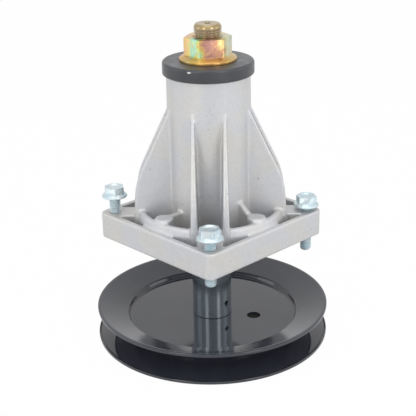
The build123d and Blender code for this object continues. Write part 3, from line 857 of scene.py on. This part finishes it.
def satin_black():
    finish = Finish("satin_black", 0.0, 0.42, colour(58, 59, 63))
    cloud = finish.spread(finish.noise(55, 3), 0.35, 0.65)
    coat = finish.blend(cloud, colour(54, 56, 60), colour(66, 67, 72))
    squeeze = finish.add("ShaderNodeVectorMath", operation="MULTIPLY")
    finish.join(finish.place, squeeze.inputs[0])
    squeeze.inputs[1].default_value = CHIP_SHAPE
    reach = finish.add("ShaderNodeVectorMath", operation="DISTANCE")
    finish.join(squeeze.outputs["Vector"], reach.inputs[0])
    reach.inputs[1].default_value = [c * shape * MM for c, shape in zip(CHIP, CHIP_SHAPE)]
    ragged = finish.math("MULTIPLY", finish.noise(1700, 3), 1.7 * MM)
    chip = finish.spread(finish.math("ADD", reach.outputs["Value"], ragged), 1.6 * MM, 1.4 * MM)
    finish.paint(finish.blend(chip, coat, colour(225, 225, 222)))
    finish.rough(finish.spread(finish.noise(140, 3), 0.3, 0.7, 0.28, 0.42))
    finish.bump(finish.noise(1400, 2), 0.12, 0.02)
    return finish.material


# %% [markdown]
# ### Yellow zinc
# Yellow passivated zinc shimmers: its film is so thin that its thickness gives it colour, and round the nut
# it runs from green through gold to pink. A colour ramp over the angle round the axis, shaken by noise, gives
# that, and stays on the nut as it turns. Its stops on the flats that face the camera are darker, as painted
# shade. The share of a turn is 0 at -X and grows counterclockwise.

# %% Yellow zinc
def yellow_zinc():
    finish = Finish("yellow_zinc", 0.85, 0.30, colour(214, 190, 130))
    parts = finish.axis_parts()
    share = finish.spread(finish.math("ARCTAN2", parts["Y"], parts["X"]), -math.pi, math.pi)
    wander = finish.spread(finish.noise(150, 3, 0.6), 0.3, 0.7, -0.045, 0.045)
    # Painted shade: the stops from 0.36 to 0.465 lie on the flats that face the camera and are darker than
    # the rest, which tones down the front lamps' reflection there.
    film = finish.ramp(finish.math("ADD", share, wander), [
        (0.00, colour(226, 190, 120)), (0.12, colour(214, 170, 150)), (0.20, colour(210, 190, 112)),
        (0.245, colour(154, 192, 162)), (0.275, colour(138, 196, 178)), (0.305, colour(180, 190, 108)),
        (0.335, colour(196, 160, 100)), (0.36, colour(164, 122, 110)), (0.42, colour(160, 116, 106)),
        (0.465, colour(166, 124, 98)), (0.50, colour(188, 178, 120)), (0.54, colour(200, 206, 172)),
        (0.62, colour(190, 200, 176)), (0.78, colour(224, 192, 122)), (1.00, colour(226, 190, 120)),
    ])
    foot = finish.spread(parts["Z"], (nut_low + 4.6) * MM, (nut_low + 3.4) * MM)
    film = finish.blend(finish.math("MULTIPLY", foot, 0.75), film, colour(196, 154, 78))
    cloud = finish.spread(finish.noise(260, 3), 0.45, 0.62, 0, 0.35)
    finish.paint(finish.blend(cloud, film, colour(204, 160, 104)))
    finish.rough(finish.spread(finish.noise(500, 3), 0.3, 0.7, 0.24, 0.38))
    finish.bump(finish.noise(420, 3), 0.2, 0.04)
    return finish.material


# %% [markdown]
# ### Shaft steel
# The turned end has a thin yellow film too, with fine rings left by the tool. The thread is painted paler and
# greyer than the golden band above it, most of all in its grooves, as painted light that offsets the shade in
# the grooves. The centre mark is dark. Masks from the distance to the axis and from the height say where each
# begins.

# %% Shaft steel
def shaft_steel():
    finish = Finish("shaft_steel", 0.9, 0.3, colour(186, 168, 116))
    rings = finish.noise(60, 2, stretch=(1, 1, 60))
    cloud = finish.spread(finish.noise(170, 3), 0.35, 0.65)
    tone = finish.blend(cloud, colour(170, 148, 106), colour(166, 152, 122))
    skin = finish.blend(finish.spread(rings, 0.55, 0.7, 0, 0.4), tone, colour(122, 104, 76))
    flatten = finish.add("ShaderNodeVectorMath", operation="MULTIPLY")
    finish.join(finish.place, flatten.inputs[0])
    flatten.inputs[1].default_value = (1, 1, 0)
    reach = finish.add("ShaderNodeVectorMath", operation="LENGTH")
    finish.join(flatten.outputs["Vector"], reach.inputs[0])
    groove = finish.spread(reach.outputs["Value"], 9.45 * MM, 9.05 * MM)
    height = finish.axis_parts()["Z"]
    below_end = finish.spread(height, (shaft_end - END_BAND + 0.4) * MM, (shaft_end - END_BAND) * MM)
    above_disc = finish.spread(height, disc_top * MM, (disc_top + 1) * MM)
    # Painted light: the thread, and most of all its grooves, is painted paler, which offsets the shade in the
    # grooves.
    groove_painted_light = finish.math("MULTIPLY", finish.math("MULTIPLY", groove, below_end), above_disc)
    thread_painted_light = finish.spread(finish.math("MULTIPLY", below_end, above_disc), 0, 1, 0, 0.5)
    skin = finish.blend(thread_painted_light, skin, colour(188, 174, 150))
    skin = finish.blend(groove_painted_light, skin, colour(190, 176, 154))
    in_mark = finish.spread(reach.outputs["Value"], 2.4 * MM, 1.7 * MM)
    finish.paint(finish.blend(in_mark, skin, colour(84, 70, 52)))
    finish.rough(finish.spread(rings, 0.3, 0.7, 0.20, 0.36))
    finish.bump(rings, 0.15, 0.02)
    return finish.material


# %% [markdown]
# ### Bright and dark zinc
# Blue-white zinc on the screws is pale, with dull grey patches. The sleeve's zinc is dark blue-grey and much
# smoother, so it draws the lamps out into two upright lines. Its streaks run along the tube.

# %% Bright zinc and the sleeve's dark zinc
def bright_zinc():
    finish = Finish("bright_zinc", 0.7, 0.4, colour(198, 212, 218))
    cool = finish.spread(finish.noise(210, 3), 0.35, 0.65)
    skin = finish.blend(cool, colour(194, 213, 221), colour(211, 220, 222))
    dull = finish.spread(finish.noise(520, 4, 0.65), 0.5, 0.8, 0, 0.5)
    finish.paint(finish.blend(dull, skin, colour(146, 160, 170)))
    finish.rough(finish.spread(finish.noise(300, 3), 0.3, 0.7, 0.34, 0.48))
    finish.bump(finish.noise(700, 3), 0.25, 0.04)
    return finish.material


def dark_zinc():
    finish = Finish("dark_zinc", 0.9, 0.2, colour(160, 173, 182))
    streaks = finish.noise(90, 3, stretch=(1, 1, 0.08))
    skin = finish.blend(finish.spread(streaks, 0.35, 0.65), colour(148, 162, 172), colour(172, 184, 190))
    spots = finish.spread(finish.noise(800, 2), 0.62, 0.75, 0, 0.5)
    finish.paint(finish.blend(spots, skin, colour(96, 104, 116)))
    finish.rough(finish.spread(finish.noise(120, 3), 0.3, 0.7, 0.14, 0.24))
    finish.bump(finish.noise(350, 2), 0.08, 0.02)
    return finish.material


# %% [markdown]
# ### Small inner parts
# Bearing rings are ground bright, so they get fine marks round the axis. The seals are matte rubber, and the
# set screw is blackened in oil.

# %% Bearing steel, rubber and black oxide
def bearing_steel():
    finish = Finish("bearing_steel", 0.95, 0.2, colour(214, 215, 216))
    marks = finish.noise(120, 2, stretch=(1, 1, 25))
    finish.paint(finish.blend(finish.spread(marks, 0.4, 0.7), colour(216, 217, 219), colour(188, 190, 194)))
    finish.rough(finish.spread(marks, 0.3, 0.7, 0.14, 0.26))
    return finish.material


def seal_rubber():
    finish = Finish("seal_rubber", 0.0, 0.6, colour(40, 40, 42))
    dust = finish.spread(finish.noise(300, 3), 0.3, 0.7)
    finish.paint(finish.blend(dust, colour(36, 36, 38), colour(52, 51, 50)))
    finish.bump(finish.noise(1500, 2), 0.3, 0.03)
    return finish.material


def black_oxide():
    finish = Finish("black_oxide", 0.7, 0.4, colour(48, 48, 52))
    film = finish.spread(finish.noise(900, 3), 0.4, 0.7)
    finish.paint(finish.blend(film, colour(44, 44, 48), colour(70, 66, 62)))
    finish.rough(finish.spread(finish.noise(600, 2), 0.3, 0.7, 0.34, 0.5))
    return finish.material


# %% [markdown]
# ## All finishes
# Each finish is made once, under the name of the slot that the record gives it, so that pieces share it.

# %% All finishes
finishes = {
    "cast_aluminium": cast_aluminium(), "gloss_black": gloss_black(), "satin_black": satin_black(),
    "yellow_zinc": yellow_zinc(), "shaft_steel": shaft_steel(), "bright_zinc": bright_zinc(),
    "dark_zinc": dark_zinc(), "bearing_steel": bearing_steel(), "seal_rubber": seal_rubber(),
    "black_oxide": black_oxide(),
}
print("finishes", len(finishes))

# %% [markdown]
# ## Dressing the pieces
# Each modelled piece takes its finish, rides on the body that it turns with and stands for its solid. The
# bearings, spacer, key and set screw keep their measured shape and only get a finish.

# %% Finishes, bodies and what each piece stands for
def dress(piece, slot, body, *nodes):
    """Finish, body and the solids that a piece stands for."""
    piece.data.materials.clear()
    piece.data.materials.append(finishes[slot])
    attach(piece, body)
    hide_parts(*nodes)


dress(housing, "cast_aluminium", "housing_body", "housing")
for copy, node in screws:
    dress(copy, "bright_zinc", "housing_body", node)
dress(blade_end, "shaft_steel", "rotor", "shaft")
dress(journal, "shaft_steel", "rotor", "shaft")
dress(nut, "yellow_zinc", "rotor", "blade_nut")
dress(disc, "satin_black", "rotor", "blade_disc")
dress(sleeve, "dark_zinc", "rotor", "pulley_sleeve")
dress(upper, "gloss_black", "rotor", "pulley_upper_half")
dress(lower, "gloss_black", "rotor", "pulley_lower_half")
dress(washer, "bright_zinc", "rotor", "pulley_washer")
dress(bolt, "bright_zinc", "rotor", "pulley_bolt")
for row in frame["record"]["subparts"]:
    node = frame["nodes"][row["node"]]
    for slot in node.material_slots:
        slot.material = finishes[row["material_slot"]]

# %% [markdown]
# ## The floor
# The part stands in a white room. The Light Path node tells a shader what kind of ray asks. To a ray from the
# camera the floor is all but plain white, which leaves a trace of the shadow, and in reflections it is quite
# white. Other rays meet a pale matte floor.

# %% Floor
CAMERA_SHARE = 0.98
bpy.ops.object.select_all(action="DESELECT")
bpy.ops.mesh.primitive_plane_add(size=6)
floor = bpy.context.object
floor.name = "floor"
ground = bpy.data.materials.new("floor")
ground.use_nodes = True
nodes, links = ground.node_tree.nodes, ground.node_tree.links
nodes.clear()
white = nodes.new("ShaderNodeEmission")
white.inputs["Color"].default_value = (1, 1, 1, 1)
white.inputs["Strength"].default_value = 1
matte = nodes.new("ShaderNodeBsdfDiffuse")
matte.inputs["Color"].default_value = colour(240, 240, 240)
rays = nodes.new("ShaderNodeLightPath")
seen = nodes.new("ShaderNodeMath")
seen.operation = "MULTIPLY"
seen.inputs[1].default_value = CAMERA_SHARE
links.new(rays.outputs["Is Camera Ray"], seen.inputs[0])
shown = nodes.new("ShaderNodeMath")
shown.operation = "MAXIMUM"
links.new(seen.outputs["Value"], shown.inputs[0])
links.new(rays.outputs["Is Glossy Ray"], shown.inputs[1])
mix = nodes.new("ShaderNodeMixShader")
out = nodes.new("ShaderNodeOutputMaterial")
links.new(shown.outputs["Value"], mix.inputs["Fac"])
links.new(matte.outputs["BSDF"], mix.inputs[1])
links.new(white.outputs["Emission"], mix.inputs[2])
links.new(mix.outputs["Shader"], out.inputs["Surface"])
floor.data.materials.append(ground)
print("floor", round(floor.dimensions.x, 1), "metres wide")

# %% [markdown]
# ## The world
# The room's light comes from the world. It is plain white to the camera and in reflections, and dimmer to the
# rays that light the part, so that the lamps shape it.

# %% World
ROOM_LIGHT = 0.55
world = bpy.data.worlds.new("white room")
bpy.context.scene.world = world
world.use_nodes = True
nodes, links = world.node_tree.nodes, world.node_tree.links
nodes.clear()
rays = nodes.new("ShaderNodeLightPath")
seen = nodes.new("ShaderNodeMath")
seen.operation = "MAXIMUM"
links.new(rays.outputs["Is Camera Ray"], seen.inputs[0])
links.new(rays.outputs["Is Glossy Ray"], seen.inputs[1])
shown = nodes.new("ShaderNodeMath")
shown.operation = "MAXIMUM"
links.new(seen.outputs["Value"], shown.inputs[0])
links.new(rays.outputs["Is Transmission Ray"], shown.inputs[1])
level = nodes.new("ShaderNodeMapRange")
level.inputs["To Min"].default_value = ROOM_LIGHT
level.inputs["To Max"].default_value = 1.0
links.new(shown.outputs["Value"], level.inputs["Value"])
sky = nodes.new("ShaderNodeBackground")
sky.inputs["Color"].default_value = (1, 1, 1, 1)
links.new(level.outputs["Result"], sky.inputs["Strength"])
out = nodes.new("ShaderNodeOutputWorld")
links.new(sky.outputs["Background"], out.inputs["Surface"])
print("world", world.name)

# %% [markdown]
# ## The lamps
# The light is soft: one large lamp overhead, and a tall one on each side of the camera, whose reflections are
# the two upright lines on the sleeve. Two cards further round, no brighter than the room, lift the sides of
# the flange without a line of their own in the gloss. A wide lamp needs more power for the same radiance, so
# the power is worked out from its size.

# %% Lamps
LOOKED_AT = (0, 0, 0.11)


def soft_lamp(name, width, height, radiance, turn, distance, rise):
    """A soft lamp that looks at the part; turn is in degrees, to the right of the camera."""
    data = bpy.data.lights.new(name, "AREA")
    data.shape = "RECTANGLE"
    data.size, data.size_y = width, height
    data.energy = radiance * math.pi * width * height
    lamp = bpy.data.objects.new(name, data)
    bpy.context.scene.collection.objects.link(lamp)
    around = VIEW_TURN + math.radians(turn)
    lamp.location = (distance * math.sin(around), -distance * math.cos(around), rise)
    towards = Vector(LOOKED_AT) - lamp.location
    lamp.rotation_euler = towards.to_track_quat("-Z", "Y").to_euler()


soft_lamp("overhead", 1.1, 1.1, 1.3, 0, 0.15, 1.4)
soft_lamp("left", 0.36, 1.1, 3.0, -32, 1.25, 0.62)
soft_lamp("right", 0.36, 1.1, 3.0, 38, 1.25, 0.62)
soft_lamp("left card", 0.6, 1.0, 0.95, -84, 1.25, 0.4)
soft_lamp("right card", 0.6, 1.0, 0.95, 84, 1.25, 0.4)
bpy.context.scene.view_settings.view_transform = "Standard"
print("lamps", len(bpy.data.lights))
